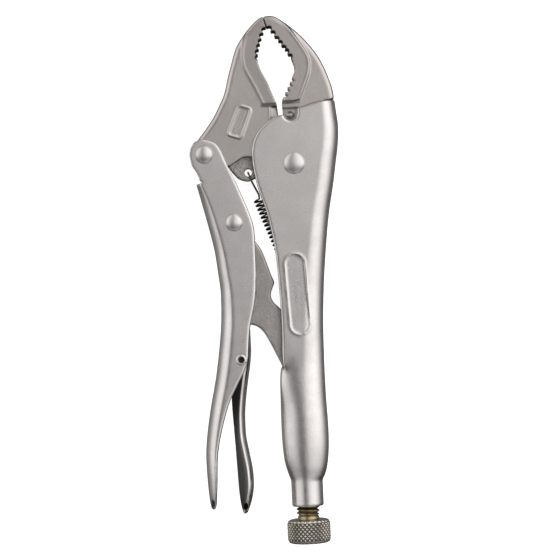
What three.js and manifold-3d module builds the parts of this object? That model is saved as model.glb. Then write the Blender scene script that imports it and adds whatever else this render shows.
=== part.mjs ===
// Locking pliers with curved jaws, lying on their side.
// +Z is up, +Y runs from the main pivot towards the jaw tips, and +X runs from the lever handle
// towards the fixed handle. Outlines are drawn in millimetres from the main pivot, on the mid-plane
// of the tool, and the finished group is moved so that its origin is at the bottom centre of its box.
import * as THREE from 'three';
import { mergeVertices } from 'three/addons/utils/BufferGeometryUtils.js';
import Module from 'manifold-3d';

const wasm = await Module();
wasm.setup();

// ---- Driving sizes -------------------------------------------------------------------------

const drawnJawReach = 70.3; // the reaches that the outlines below are drawn at
const drawnHandleReach = 162.3;
const jawReach = 70.3; // main pivot to the jaw tips
const handleReach = 162.3; // main pivot to the end of the fixed handle's neck

const sheet = 2; // steel sheet of both handles
const jawThickness = 11.4; // forged jaws, between the cheeks
const sideGap = 0.3; // jaw face to cheek, on each side
const gripRise = 0.9; // how far the grip band stands out of each jaw face
const tabThickness = 5; // spring tab on the moving jaw
const linkThickness = 5;
const releaseSheet = 1.5;
const releaseGap = 0.4; // release lever to the lever handle's cheek, on each side

const tubeRoom = 0.95; // screw's bore to the inside of the closed tube, above and below
const neckWall = 1.75; // steel round the bore in the neck
const screwX = -0.8; // adjusting screw's axis
const screwDiameter = 11;
const threadPitch = 1.81;
const threadDepth = 1.05;
const threadGap = 0.3; // screw to the bore in the neck
const screwGap = 6.3; // neck to knob, as the screw is set here
const collarDiameter = 10;
const collarLength = 1.9;
const spigotDiameter = 7; // end of the screw that holds the knob
const spigotLength = 6.5;
const knobDiameter = 20.4;
const knobLength = 11.1;
const knobEdge = 1.5;
const pieceGap = 0.3; // between pieces that are fastened to each other

const holeGap = 0.25; // rivet shank to its hole, on the radius
const headGap = 0.1; // rivet head to the cheek
const mainRivet = { x: 0, y: 0, shank: 7, head: 10.2, rise: 2.5 };
const leverRivet = { x: -42.2, y: 5.9, shank: 5.6, head: 8.6, rise: 2.5 };
const linkRivet = { x: -29.5, y: -26.7, shank: 5.4, head: 8.2, rise: 2.4 };
const releaseRivet = { x: -29.1, y: -91.5, shank: 3.4, head: 5.2, rise: 0.9, hollow: 2.4 };

const jawBoss = 9.5; // radius of the moving jaw's boss on the main rivet
const bossGap = 1.5; // boss to the fixed jaw's root
const nose = { x: screwX, y: -102.5, radius: 4.2 }; // end of the toggle link that meets the screw
const noseGap = 4.8; // room for the nose between the link and the screw

const wire = 0.95; // spring wire
const coilDiameter = 6.2;
const coilPitch = 2.05;
const springTab = { x: -22, y: -3.3, hole: 3.6 };
const springLug = { x: -1.7, y: -57, hole: 2.6, thickness: 2, radius: 3, root: 5 };
const hookLead = 13.5; // straight wire between each hole and the coil
const lugLead = 7.5;

const cheekGap = jawThickness + 2 * sideGap;
const channelWidth = cheekGap + 2 * sheet;
const boreRadius = screwDiameter / 2 + threadGap;
const neckRadius = boreRadius + neckWall;
const tubeHalfDepth = boreRadius + tubeRoom + sheet;
const neckRight = screwX + neckRadius;
const neckLeft = screwX - neckRadius;
const channelEnd = -95.5; // where the fixed handle closes into a tube
const tubeShoulder = -150.5; // where the tube becomes the neck
const boreExit = -170; // past the end of the neck
const handleTop = 31; // top of the folded sheet, under its cheeks' front edge
const wide = 60; // cutting tools reach at least this far
const cutBend = 0.5; // bend of a loft on the side that its outline cuts away
const bendShare = 0.8; // how much of a sheet's thickness its inner bend gives up

// ---- Drawing helpers -----------------------------------------------------------------------

// A drawn distance along the tool, moved to the reaches that are set above.
function along(y) {
  const stretch = y > 0 ? jawReach / drawnJawReach : handleReach / drawnHandleReach;
  return y * stretch;
}

// A smooth open curve through hand-set points, as [x, y] pairs.
function curve(points, steps = 3) {
  const spline = new THREE.SplineCurve(points.map(([x, y]) => new THREE.Vector2(x, y)));
  return spline.getPoints((points.length - 1) * steps).map((p) => [p.x, p.y]);
}

function arc(centre, radius, fromDegrees, toDegrees, steps) {
  const points = [];
  for (let i = 0; i <= steps; i += 1) {
    const angle = THREE.MathUtils.degToRad(fromDegrees + ((toDegrees - fromDegrees) * i) / steps);
    points.push([centre.x + radius * Math.cos(angle), centre.y + radius * Math.sin(angle)]);
  }
  return points;
}

// A width or an edge that changes smoothly with y. The stops run down the tool as [y, value], and
// the edge is level at a stop where it turns back or where it meets a level stretch.
function track(stops) {
  const last = stops.length - 1;
  const rate = (i) => (stops[i + 1][1] - stops[i][1]) / (stops[i + 1][0] - stops[i][0]);
  const slope = (i) => {
    const [before, after] = [rate(Math.max(i - 1, 0)), rate(Math.min(i, last - 1))];
    return before * after > 0 ? (before + after) / 2 : 0;
  };
  return (y) => {
    if (y >= stops[0][0]) return stops[0][1];
    if (y <= stops[last][0]) return stops[last][1];
    const i = stops.findIndex((stop) => y > stop[0]) - 1;
    const [y0, v0] = stops[i];
    const [y1, v1] = stops[i + 1];
    const span = y1 - y0;
    const t = (y - y0) / span;
    const start = (1 + 2 * t) * (1 - t) ** 2 * v0 + t * (1 - t) ** 2 * span * slope(i);
    return start + t * t * (3 - 2 * t) * v1 + t * t * (t - 1) * span * slope(i + 1);
  };
}

// Teeth from one point to another. Each tooth has its peak on the line, at `lean` of its pitch,
// and its root `depth` away from the line, on the left of the direction of travel.
function teeth([x0, y0], [x1, y1], count, depth, lean) {
  const length = Math.hypot(x1 - x0, y1 - y0);
  const dx = (x1 - x0) / length;
  const dy = (y1 - y0) / length;
  const place = (share, off) => {
    const s = (length * share) / count;
    return [x0 + dx * s - dy * off, y0 + dy * s + dx * off];
  };
  const points = [];
  for (let i = 0; i < count; i += 1) {
    points.push(place(i + lean - 0.2, 0), place(i + lean + 0.2, 0));
    if (i < count - 1) points.push(place(i + lean + 0.5, depth));
  }
  return points;
}

// ---- Solids --------------------------------------------------------------------------------

function signedVolume(position, index) {
  const [a, b, c] = [new THREE.Vector3(), new THREE.Vector3(), new THREE.Vector3()];
  let sum = 0;
  for (let i = 0; i < index.length; i += 3) {
    a.fromBufferAttribute(position, index[i]);
    b.fromBufferAttribute(position, index[i + 1]);
    c.fromBufferAttribute(position, index[i + 2]);
    sum += a.dot(b.cross(c)) / 6;
  }
  return sum;
}

function toSolid(geometry) {
  geometry.deleteAttribute('normal');
  geometry.deleteAttribute('uv');
  const merged = mergeVertices(geometry, 1e-4);
  const source = merged.index.array;
  const kept = [];
  for (let i = 0; i < source.length; i += 3) {
    const [a, b, c] = [source[i], source[i + 1], source[i + 2]];
    if (a !== b && b !== c && c !== a) kept.push(a, b, c);
  }
  const inward = signedVolume(merged.attributes.position, kept) < 0;
  const triVerts = new Uint32Array(inward ? kept.reverse() : kept);
  const vertProperties = new Float32Array(merged.attributes.position.array);
  return new wasm.Manifold(new wasm.Mesh({ numProp: 3, vertProperties, triVerts }));
}

function toGeometry(solid) {
  const mesh = solid.getMesh();
  const geometry = new THREE.BufferGeometry();
  geometry.setAttribute('position', new THREE.BufferAttribute(mesh.vertProperties, 3));
  geometry.setIndex(new THREE.BufferAttribute(mesh.triVerts, 1));
  geometry.computeVertexNormals();
  return geometry;
}

// A flat plate with a drawn outline, centred on the mid-plane.
function plate(outline, thickness) {
  const shape = new THREE.Shape(outline.map(([x, y]) => new THREE.Vector2(x, along(y))));
  const geometry = new THREE.ExtrudeGeometry(shape, { depth: thickness, bevelEnabled: false });
  return toSolid(geometry.translate(0, 0, -thickness / 2));
}

function box(x0, x1, y0, y1, depth) {
  const geometry = new THREE.BoxGeometry(x1 - x0, along(y1) - along(y0), depth);
  return toSolid(geometry.translate((x0 + x1) / 2, (along(y0) + along(y1)) / 2, 0));
}

// A round hole's cutter, through the tool along Z.
function drill({ x, y }, diameter) {
  const geometry = new THREE.CylinderGeometry(diameter / 2, diameter / 2, wide, 24);
  return toSolid(geometry.rotateX(Math.PI / 2).translate(x, along(y), 0));
}

function rivetHole(rivet) {
  return drill(rivet, rivet.shank + 2 * holeGap);
}

// A turned solid about an axis along Y, from [radius, y] pairs that start and end on the axis.
function turned(profile, sides) {
  const points = profile.map(([radius, y]) => new THREE.Vector2(radius, y));
  return toSolid(new THREE.LatheGeometry(points, sides).translate(screwX, 0, 0));
}

// One cross-section: flat top and bottom, with an elliptical bend on each side.
function section({ left, right, half, leftBend, rightBend }) {
  const steps = 7;
  const points = [];
  for (let i = 0; i <= steps; i += 1) {
    const angle = Math.PI * (i / steps - 0.5);
    points.push([right - rightBend + rightBend * Math.cos(angle), half * Math.sin(angle)]);
  }
  for (let i = 0; i <= steps; i += 1) {
    const angle = Math.PI * (0.5 - i / steps);
    points.push([left + leftBend - leftBend * Math.cos(angle), half * Math.sin(angle)]);
  }
  return points;
}

// A solid through one cross-section at each drawn station along the tool.
function loft(stations, sizesAt) {
  const position = [];
  const index = [];
  const rings = stations.map((y) => section(sizesAt(y)));
  const count = rings[0].length;
  rings.forEach((ring, r) => {
    ring.forEach(([x, z]) => position.push(x, along(stations[r]), z));
  });
  for (let r = 0; r + 1 < rings.length; r += 1) {
    for (let i = 0; i < count; i += 1) {
      const [a, b] = [r * count + i, r * count + ((i + 1) % count)];
      index.push(a, b, a + count, b, b + count, a + count);
    }
  }
  const last = (rings.length - 1) * count;
  for (let i = 1; i + 1 < count; i += 1) {
    index.push(0, i + 1, i, last, last + i, last + i + 1);
  }
  const geometry = new THREE.BufferGeometry();
  geometry.setAttribute('position', new THREE.Float32BufferAttribute(position, 3));
  geometry.setIndex(index);
  return toSolid(geometry);
}

function stationsBetween(top, bottom, step) {
  const count = Math.ceil((top - bottom) / step);
  return Array.from({ length: count + 1 }, (_, i) => top + ((bottom - top) * i) / count);
}

// ---- Fixed handle --------------------------------------------------------------------------

const handleSpine = track([
  [32, 20.2], [26.2, 20.7], [16, 21.6], [8, 21], [0, 19.7], [-8, 18.45], [-25, 15.25], [-41.5, 13.1],
  [-58.5, 11.4], [-75.4, 10.35], [-92, 10.05], [-110, 10], [-126.6, 10.2], [-136, 9.85],
  [-143.6, neckRight + 2.2], [-147.5, neckRight + 1.15], [tubeShoulder, neckRight],
  [boreExit, neckRight],
]);
const handleBend = track([[30, 5.2], [20, 5.8], [-20, 7], [-60, 8], [-85, 9.2], [-95, 10]]);
const tubeLeft = track([
  [-93, -10.2], [-97.5, -10.9], [-103, -11.3], [-112, -11.4], [-124, -11.4], [-134, -11],
  [-141.5, neckLeft - 1.85], [-146.5, neckLeft - 0.85], [tubeShoulder, neckLeft],
  [boreExit, neckLeft],
]);
const handleHalf = track([
  [handleTop, channelWidth / 2], [-85, channelWidth / 2], [-112, tubeHalfDepth],
  [-130, tubeHalfDepth], [-143, tubeHalfDepth - 0.55], [tubeShoulder, neckRadius],
  [boreExit, neckRadius],
]);
const tubeWall = track([
  [-93, sheet], [-140, sheet], [tubeShoulder, neckWall], [boreExit, neckWall],
]);

const channelStations = stationsBetween(handleTop + 9, channelEnd, 8);

// The open channel, whose left side runs out past the cheeks and is trimmed by their outline.
function channelSizes(inset) {
  return (y) => ({
    left: -wide,
    right: handleSpine(y) - inset,
    half: handleHalf(y) - inset,
    leftBend: cutBend,
    rightBend: handleBend(y) - bendShare * inset,
  });
}

function tubeSizes(insetAt) {
  return (y) => {
    const inset = insetAt(y);
    const left = tubeLeft(y) + inset;
    const right = handleSpine(y) - inset;
    const bend = (right - left) / 2 - 0.01;
    return { left, right, half: handleHalf(y) - inset, leftBend: bend, rightBend: bend };
  };
}

// The cheeks' front edge, from the notch to the spine. The fixed jaw stands on it.
const handleFront = curve([[2.65, 25.8], [5, 26.3], [12, 28.2], [20, 29.3]]);

function handleCheek() {
  return [
    ...curve([
      [-10, -97], [-9.8, -92], [-9.3, -79], [-9.6, -62], [-10.2, -48], [-10.9, -40], [-12.3, -31],
      [-14.2, -22], [-16.5, -14.5], [-18.2, -8], [-19.5, 0], [-19.6, 7], [-18, 12.8],
      [-14.5, 17.5], [-10.5, 20.8], [-6.5, 22.6], [-4.1, 22.9],
    ]),
    ...arc({ x: -0.75, y: 23.4 }, 3.35, 185, 355, 10),
    ...handleFront,
    [wide, 29.3],
    [wide, -97],
  ];
}

// A tongue pressed out of the spine, which holds the far end of the spring.
function springLugPlate() {
  const { x, y, radius, root, thickness } = springLug;
  const outline = [
    [handleSpine(y) - sheet / 2, y + root],
    ...arc({ x, y }, radius, 100, 260, 8),
    [handleSpine(y) - sheet / 2, y - root],
  ];
  return plate(outline, thickness).subtract(drill(springLug, springLug.hole));
}

// The slot in the tube's mouth that the toggle link swings through.
function linkMouth() {
  const clearance = 0.9;
  const mouthEnd = -106;
  return box(-wide, nose.x, mouthEnd, channelEnd + 2, linkThickness + 2 * clearance);
}

// The channel and the tube overlap by `lap` where one closes into the other.
function fixedHandle() {
  const lap = 1;
  const tubeStations = (top) => stationsBetween(top, tubeShoulder, 5);
  const channel = loft(stationsBetween(handleTop, channelEnd - lap, 8), channelSizes(0));
  const tube = loft(tubeStations(channelEnd).concat(-drawnHandleReach), tubeSizes(() => 0));
  const hollow = loft(channelStations, channelSizes(sheet));
  const bore = loft(tubeStations(channelEnd + 2 * lap).concat(boreExit), tubeSizes(tubeWall));
  return channel
    .intersect(plate(handleCheek(), wide))
    .add(tube)
    .subtract(hollow)
    .subtract(bore)
    .add(springLugPlate())
    .subtract(linkMouth())
    .subtract(rivetHole(mainRivet));
}

// ---- Jaws ----------------------------------------------------------------------------------

const fixedJawBack = curve([
  [-11.35, 69.9], [-9, 70.3], [-6, 69.7], [-2, 67.1], [2, 63.9], [6, 60.1], [10, 55.4],
  [13.5, 50.3], [16, 45.3], [18, 40], [19.4, 35.5], [20.1, 31.5], [20.1, 29.8],
]);

// The gripping side of the fixed jaw, from its heel up to the tip.
const fixedJawGrip = [
  [-4.5, 28],
  [-4.3, 30],
  ...teeth([-3.9, 30.6], [1.9, 42.6], 5, -1.1, 0.25),
  ...curve([[1.9, 42.6], [2.1, 44.5], [1.8, 47], [0.9, 49.6]], 2),
  ...teeth([0.3, 50.4], [-9.4, 64.6], 7, -0.8, 0.3),
  [-10, 65.2],
  [-10.5, 66.5],
  [-11.05, 68.3],
];

// The back edge of the raised grip band, from the jaw's back down to the heel.
const fixedGripBack = curve([
  [-3, 67.8], [0.5, 64], [5, 57.5], [8.6, 51.5], [9.7, 47.5], [9, 42], [6.3, 35], [4.1, 30.1],
]);

// The part of the jaw that sits between the cheeks and fills the bend of the spine.
function fixedJawRoot() {
  const outline = [
    [wide, 31],
    [-4.4, 29],
    [-4.3, 23],
    [-3.6, 17],
    ...arc(mainRivet, jawBoss + bossGap, 108, 12, 8),
    [wide, 2.3],
  ];
  const seat = loft(channelStations, channelSizes(sheet + pieceGap));
  return plate(outline, jawThickness).intersect(seat);
}

function fixedJaw() {
  const clearFront = handleFront.map(([x, y]) => [x, y + pieceGap + 0.1]).reverse();
  const body = plate([...fixedJawBack, ...clearFront, [-4.3, 26.2], ...fixedJawGrip], jawThickness);
  const tip = fixedJawBack.filter(([x]) => x < -3.2);
  const band = [...tip, ...fixedGripBack, [-4.3, 29.9], ...fixedJawGrip.slice(2)];
  return body.add(fixedJawRoot()).add(plate(band, jawThickness + 2 * gripRise));
}

const movingJawBack = curve([
  [-11.75, 69.9], [-13.5, 69.4], [-16.5, 67], [-20, 63.3], [-23, 59.3], [-25.5, 55],
  [-27.7, 48.3], [-29.4, 42.7], [-31.7, 34.3], [-34.3, 28.8], [-37.4, 23.2], [-41.4, 17.7],
  [-46, 12.1],
]);

// The gripping side of the moving jaw, from its heel up to the tip.
const movingJawGrip = [
  [-6.9, 27.5],
  ...teeth([-7.2, 29], [-10.6, 38.2], 5, 0.45, 0.3),
  ...curve([[-11.5, 40], [-13.5, 44], [-14.9, 48], [-15, 50.5]], 2),
  ...teeth([-14.9, 51.6], [-10.8, 64.2], 5, 0.8, 0.3),
  [-10.7, 65.2],
  [-11.1, 66.6],
  [-11.6, 68.3],
];

const movingGripBack = curve([
  [-19.3, 64.2], [-20.8, 61], [-22.2, 56], [-22.8, 51], [-22.2, 46.5], [-20.3, 42], [-17.3, 36],
  [-14, 28.6],
]);

function movingJaw() {
  const lobeRadius = 6.3;
  const outline = [
    ...movingJawBack,
    ...arc(leverRivet, lobeRadius, 130, 275, 9),
    ...curve([[-36, 0.2], [-31.2, 0], [-26, 3], [-23.5, 4], [-20, 3.8]], 2),
    ...arc(mainRivet, jawBoss, 190, 470, 20),
    ...curve([[-4.6, 12.5], [-5.8, 18], [-6.4, 22.6], [-6.9, 27]], 2),
    ...movingJawGrip,
  ];
  const tab = [
    ...curve([
      [-31.6, 0.6], [-30.3, -1.8], [-28.4, -4.2], [-26, -6.4], [-22, -7.4], [-18.2, -6.2], [-12, -6.4],
    ]),
    [-5, -6],
    [-5, 3],
    [-20, 4.6],
    [-26, 3.8],
  ];
  const tip = movingJawBack.filter(([, y]) => y > 64.4);
  const band = [...tip, ...movingGripBack, [-7, 28.4], ...movingJawGrip.slice(1)];
  return plate(outline, jawThickness)
    .add(plate(tab, tabThickness))
    .add(plate(band, jawThickness + 2 * gripRise))
    .subtract(rivetHole(mainRivet))
    .subtract(rivetHole(leverRivet))
    .subtract(drill(springTab, springTab.hole));
}

// ---- Lever handle --------------------------------------------------------------------------

const leverSpineTop = -7.6;
const leverTip = -162.3;
const leverHollowEnd = leverTip + 5.3;
const leverSpine = track([
  [leverSpineTop, -46.9], [-16.2, -44.8], [-27.7, -42.1], [-39.2, -39.7], [-50.5, -38.4],
  [-60, -37.6], [-73.3, -38], [-84, -39.2], [-98.6, -41.5], [-115.5, -45.1], [-128, -47.2],
  [-138, -48], [-148, -47.8], [-158, -47.1], [leverTip, -46.4],
]);
const leverBend = track([[-8, 6.4], [-60, 7.4], [-110, 7], [-135, 6], [-162, 5]]);
const leverHalf = track([
  [-8, channelWidth / 2], [-140, channelWidth / 2], [-156, channelWidth / 2 - 0.8],
  [leverTip, channelWidth / 2 - 2.2],
]);

function leverSizes(inset) {
  return (y) => ({
    left: leverSpine(y) + inset,
    right: wide,
    half: leverHalf(y) - inset,
    leftBend: leverBend(y) - bendShare * inset,
    rightBend: cutBend,
  });
}

function leverEar() {
  return [
    ...curve([
      [-47, 11.9], [-48.8, 8.8], [-49.2, 5.2], [-48.3, 1], [-46.6, -1.9], [-45.3, -4.8], [-45, -6.2],
    ]),
    [-44.6, -9.4],
    [-27.5, -11],
    ...curve([
      [-29, -5.5], [-31, -1], [-32.5, 2.5], [-34.5, 7.5], [-37, 11], [-42, 13], [-44.5, 13],
    ]),
  ];
}

function leverCheek() {
  return [
    [-wide, leverSpineTop],
    [-wide, leverTip],
    [-44.6, leverTip],
    ...curve([
      [-44, -160], [-43.3, -150], [-42.5, -137], [-40, -125], [-36, -112.5], [-32, -104.5],
      [-28, -97], [-26, -91.5], [-25.3, -84], [-24.3, -76], [-21.7, -65], [-20.5, -54],
      [-20.2, -40], [-20.6, -29], [-23, -20.5], [-28, leverSpineTop],
    ]),
  ];
}

function leverHandle() {
  const hollowTop = leverSpineTop + 3;
  const channel = loft(stationsBetween(leverSpineTop, leverTip, 8.5), leverSizes(0));
  const hollow = loft(stationsBetween(hollowTop, leverHollowEnd, 8.5), leverSizes(sheet));
  return channel
    .intersect(plate(leverCheek(), wide))
    .add(plate(leverEar(), channelWidth))
    .subtract(hollow)
    .subtract(box(-wide, wide, leverSpineTop, wide, cheekGap))
    .subtract(rivetHole(leverRivet))
    .subtract(rivetHole(linkRivet))
    .subtract(rivetHole(releaseRivet));
}

// ---- Toggle link and release lever ---------------------------------------------------------

function toggleLink() {
  const bossRadius = 6;
  const outline = [
    ...arc(linkRivet, bossRadius, -20, 200, 12),
    ...curve([[-34, -36], [-32.5, -50], [-31, -64], [-29.5, -72], [-27.5, -74.6]]),
    ...curve([
      [-23.7, -75.3], [-21, -76.2], [-18, -79], [-15, -84.5], [-12, -91], [-9, -97.5], [-6.5, -101.5],
    ]),
    ...arc(nose, nose.radius, 205, 360, 8),
    ...curve([
      [3.2, -96], [1.5, -86], [-3, -77], [-9.7, -68.3], [-12.8, -65], [-13.9, -61.5], [-12.6, -57.5],
      [-12, -55.6], [-13.5, -51.5], [-17, -41], [-20, -36], [-23, -31.5],
    ]),
  ];
  return plate(outline, linkThickness).subtract(rivetHole(linkRivet));
}

const releaseTop = -76;
const releaseTip = -164.5;
const releaseHollowEnd = releaseTip + 6;
const releaseSpine = track([
  [releaseTop, -24.4], [-86, -24.3], [-93, -24.9], [-100, -26.1], [-109, -27.6], [-120, -28.6],
  [-128, -28.45], [-136, -27.2], [-144, -26], [-150, -25.8], [-156, -26.6], [-160, -27.7],
  [releaseTip, -29.6],
]);
const releaseHalfWidth = cheekGap / 2 - releaseGap;
const releaseBend = track([[releaseTop, 3.2], [-110, 3.8], [-150, 4.4], [-164, 3]]);
const releaseHalf = track([
  [releaseTop, releaseHalfWidth], [-150, releaseHalfWidth], [-160, releaseHalfWidth - 0.6],
  [releaseTip, releaseHalfWidth - 1.8],
]);

function releaseSizes(inset) {
  return (y) => ({
    left: -wide,
    right: releaseSpine(y) - inset,
    half: releaseHalf(y) - inset,
    leftBend: cutBend,
    rightBend: releaseBend(y) - bendShare * inset,
  });
}

function releaseCheek() {
  return [
    [wide, releaseTip],
    [wide, -76.8],
    [-25.5, -76.8],
    ...curve([
      [-27.5, -78], [-30.4, -84], [-32.3, -91.5], [-33.2, -99], [-34.4, -108], [-34.5, -114],
      [-34, -126], [-33.4, -142], [-33, -153], [-32.3, -160], [-31.3, releaseTip],
    ]),
  ];
}

function releaseLever() {
  const channel = loft(stationsBetween(releaseTop, releaseTip, 7), releaseSizes(0));
  const hollowStations = stationsBetween(releaseTop + 6, releaseHollowEnd, 7);
  const hollow = loft(hollowStations, releaseSizes(releaseSheet));
  return channel
    .intersect(plate(releaseCheek(), wide))
    .subtract(hollow)
    .subtract(rivetHole(releaseRivet));
}

// ---- Spring --------------------------------------------------------------------------------

// A point on the spring's own axes: `s` along it from the tab, `across` it in the plane, and up.
function springPoint(s, across, up) {
  const start = new THREE.Vector2(springTab.x, along(springTab.y));
  const end = new THREE.Vector2(springLug.x, along(springLug.y));
  const axis = end.clone().sub(start).normalize();
  return new THREE.Vector3(
    start.x + axis.x * s - axis.y * across,
    start.y + axis.y * s + axis.x * across,
    up,
  );
}

function springPath() {
  const start = new THREE.Vector2(springTab.x, along(springTab.y));
  const length = start.distanceTo(new THREE.Vector2(springLug.x, along(springLug.y)));
  const radius = (coilDiameter - wire) / 2;
  const tabTop = tabThickness / 2 + wire / 2 + pieceGap;
  const lugTop = springLug.thickness / 2 + wire / 2 + pieceGap;
  const coilLength = length - hookLead - lugLead;
  const turns = Math.round(coilLength / coilPitch);
  const perTurn = 8;
  const points = [
    springPoint(0, 0, -tabTop), springPoint(0, 0, 0), springPoint(0.1, 0, tabTop - 0.9),
    springPoint(1.2, 0, tabTop), springPoint(hookLead * 0.4, 0, tabTop),
    springPoint(hookLead - 2, 0.6, radius + 0.3),
  ];
  for (let i = 0; i <= turns * perTurn; i += 1) {
    const angle = (2 * Math.PI * i) / perTurn;
    const s = hookLead + (coilLength * i) / (turns * perTurn);
    points.push(springPoint(s, -radius * Math.sin(angle), radius * Math.cos(angle)));
  }
  points.push(
    springPoint(length - lugLead + 2, -0.8, radius - 0.2), springPoint(length - 3.4, 0, lugTop),
    springPoint(length - 1, 0, lugTop), springPoint(length - 0.1, 0, lugTop - 0.9),
    springPoint(length, 0, 0), springPoint(length, 0, -lugTop),
  );
  return { points, steps: turns * perTurn + 40 };
}

function jawSpring() {
  const { points, steps } = springPath();
  const path = new THREE.CatmullRomCurve3(points, false, 'centripetal');
  const ring = arc({ x: 0, y: 0 }, wire / 2, 0, 300, 5).map(([x, y]) => new THREE.Vector2(x, y));
  const options = { steps, extrudePath: path, bevelEnabled: false };
  return toSolid(new THREE.ExtrudeGeometry(new THREE.Shape(ring), options));
}

// ---- Adjusting screw and knob --------------------------------------------------------------

const neckEnd = along(-drawnHandleReach);
const knobTop = neckEnd - screwGap;
const screwTip = along(nose.y) - nose.radius - noseGap;

function adjustingScrew() {
  const crest = screwDiameter / 2;
  const root = crest - threadDepth;
  const tipChamfer = 0.7;
  const threadEnd = knobTop + collarLength - pieceGap;
  const rings = Math.floor((screwTip - 1 - threadEnd) / threadPitch);
  const profile = [[0, screwTip], [root - tipChamfer, screwTip], [root, screwTip - tipChamfer]];
  for (let i = rings; i > 0; i -= 1) {
    const y = threadEnd + i * threadPitch;
    profile.push([root, y], [crest, y - threadPitch / 2]);
  }
  profile.push([collarDiameter / 2, threadEnd - 0.2], [collarDiameter / 2, knobTop + pieceGap]);
  profile.push([spigotDiameter / 2, knobTop + pieceGap]);
  profile.push([spigotDiameter / 2, knobTop - spigotLength], [0, knobTop - spigotLength]);
  return turned(profile, 16);
}

function adjustingKnob() {
  const radius = knobDiameter / 2;
  const boreSide = spigotDiameter / 2 + pieceGap;
  const boreEnd = knobTop - spigotLength - pieceGap;
  const bottom = knobTop - knobLength;
  const corner = (centreY, fromDegrees, toDegrees) =>
    arc({ x: radius - knobEdge, y: centreY }, knobEdge, fromDegrees, toDegrees, 4);
  const profile = [
    [0, boreEnd],
    [boreSide, boreEnd],
    [boreSide, knobTop],
    ...corner(knobTop - knobEdge, 90, 0),
    ...corner(bottom + knobEdge, 0, -90),
    [0, bottom],
  ];
  return turned(profile, 36);
}

// ---- Rivets --------------------------------------------------------------------------------

// Half of a rivet's turned outline, from the middle of one head out to its shank.
function rivetHalf({ shank, head, rise, hollow = 0 }) {
  const under = channelWidth / 2 + headGap;
  const lip = 0.35; // the head's straight edge
  const hollowEnd = under - 1;
  const hollowLip = 0.12; // how far the dome starts outside the hollow, in radians
  const steps = 5;
  const points = hollow ? [[0, hollowEnd], [hollow / 2, hollowEnd]] : [];
  const startAngle = hollow ? Math.asin(hollow / head) + hollowLip : 0;
  for (let i = 0; i <= steps; i += 1) {
    const angle = startAngle + ((Math.PI / 2 - startAngle) * i) / steps;
    points.push([(head / 2) * Math.sin(angle), under + lip + (rise - lip) * Math.cos(angle)]);
  }
  return [...points, [head / 2, under], [shank / 2, under]];
}

function rivet(sizes) {
  const top = rivetHalf(sizes);
  const bottom = top.map(([radius, z]) => [radius, -z]).reverse();
  const profile = [...top, ...bottom].map(([radius, z]) => new THREE.Vector2(radius, z));
  const geometry = new THREE.LatheGeometry(profile, 24).rotateX(Math.PI / 2);
  return toSolid(geometry.translate(sizes.x, along(sizes.y), 0));
}

// ---- Assembly ------------------------------------------------------------------------------

const steel = { color: 0xb8b4ae, roughness: 0.36, metalness: 0.9 };
const forged = { color: 0x9d9791, roughness: 0.48, metalness: 0.85 };
const darkSteel = { color: 0x77736f, roughness: 0.5, metalness: 0.85 };
const bright = { color: 0xc9c6c1, roughness: 0.22, metalness: 1 };
const springSteel = { color: 0x6b6762, roughness: 0.35, metalness: 0.9 };
const yellowZinc = { color: 0xa8996a, roughness: 0.34, metalness: 0.95 };
const knurled = { color: 0xaba692, roughness: 0.4, metalness: 0.9 };

const tool = new THREE.Group();

function addPiece(name, solid, finish) {
  const mesh = new THREE.Mesh(toGeometry(solid), new THREE.MeshStandardMaterial(finish));
  mesh.name = name;
  tool.add(mesh);
}

addPiece('fixed_handle', fixedHandle(), steel);
addPiece('fixed_jaw', fixedJaw(), forged);
addPiece('moving_jaw', movingJaw(), forged);
addPiece('lever_handle', leverHandle(), steel);
addPiece('toggle_link', toggleLink(), darkSteel);
addPiece('release_lever', releaseLever(), bright);
addPiece('jaw_spring', jawSpring(), springSteel);
addPiece('adjusting_screw', adjustingScrew(), yellowZinc);
addPiece('adjusting_knob', adjustingKnob(), knurled);
addPiece('main_rivet', rivet(mainRivet), bright);
addPiece('lever_rivet', rivet(leverRivet), bright);
addPiece('link_rivet', rivet(linkRivet), bright);
addPiece('release_rivet', rivet(releaseRivet), bright);

const bounds = new THREE.Box3().setFromObject(tool);
const centre = bounds.getCenter(new THREE.Vector3());
tool.position.set(-centre.x, -centre.y, -bounds.min.z);

export default tool;
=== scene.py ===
import math

import bpy
import numpy as np
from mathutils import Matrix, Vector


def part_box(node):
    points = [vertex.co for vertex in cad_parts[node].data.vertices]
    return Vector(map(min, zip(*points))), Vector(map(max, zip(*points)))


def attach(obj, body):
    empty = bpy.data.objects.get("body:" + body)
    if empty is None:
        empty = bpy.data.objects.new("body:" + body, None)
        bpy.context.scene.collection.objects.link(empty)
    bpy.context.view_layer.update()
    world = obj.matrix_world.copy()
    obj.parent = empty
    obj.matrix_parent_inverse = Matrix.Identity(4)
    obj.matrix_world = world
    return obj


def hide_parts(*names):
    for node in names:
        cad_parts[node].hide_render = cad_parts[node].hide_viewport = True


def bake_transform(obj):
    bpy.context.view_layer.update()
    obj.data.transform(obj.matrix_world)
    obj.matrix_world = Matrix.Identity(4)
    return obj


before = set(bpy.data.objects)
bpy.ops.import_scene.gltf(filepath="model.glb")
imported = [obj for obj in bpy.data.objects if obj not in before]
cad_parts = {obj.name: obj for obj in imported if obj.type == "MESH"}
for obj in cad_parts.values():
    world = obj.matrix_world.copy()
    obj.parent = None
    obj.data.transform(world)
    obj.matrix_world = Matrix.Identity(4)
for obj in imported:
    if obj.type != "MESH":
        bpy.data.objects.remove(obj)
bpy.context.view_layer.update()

low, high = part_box("main_rivet")
ORIGIN = np.array((low + high) / 2) * 1000  # the main pivot in the row frame
low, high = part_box("adjusting_screw")
SCREW_X = (low.x + high.x) * 500 - ORIGIN[0]
FAR = 60.0  # outside every piece, for the open side of an outline


# ---- Curves and distances ---------------------------------------------------------------------

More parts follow.
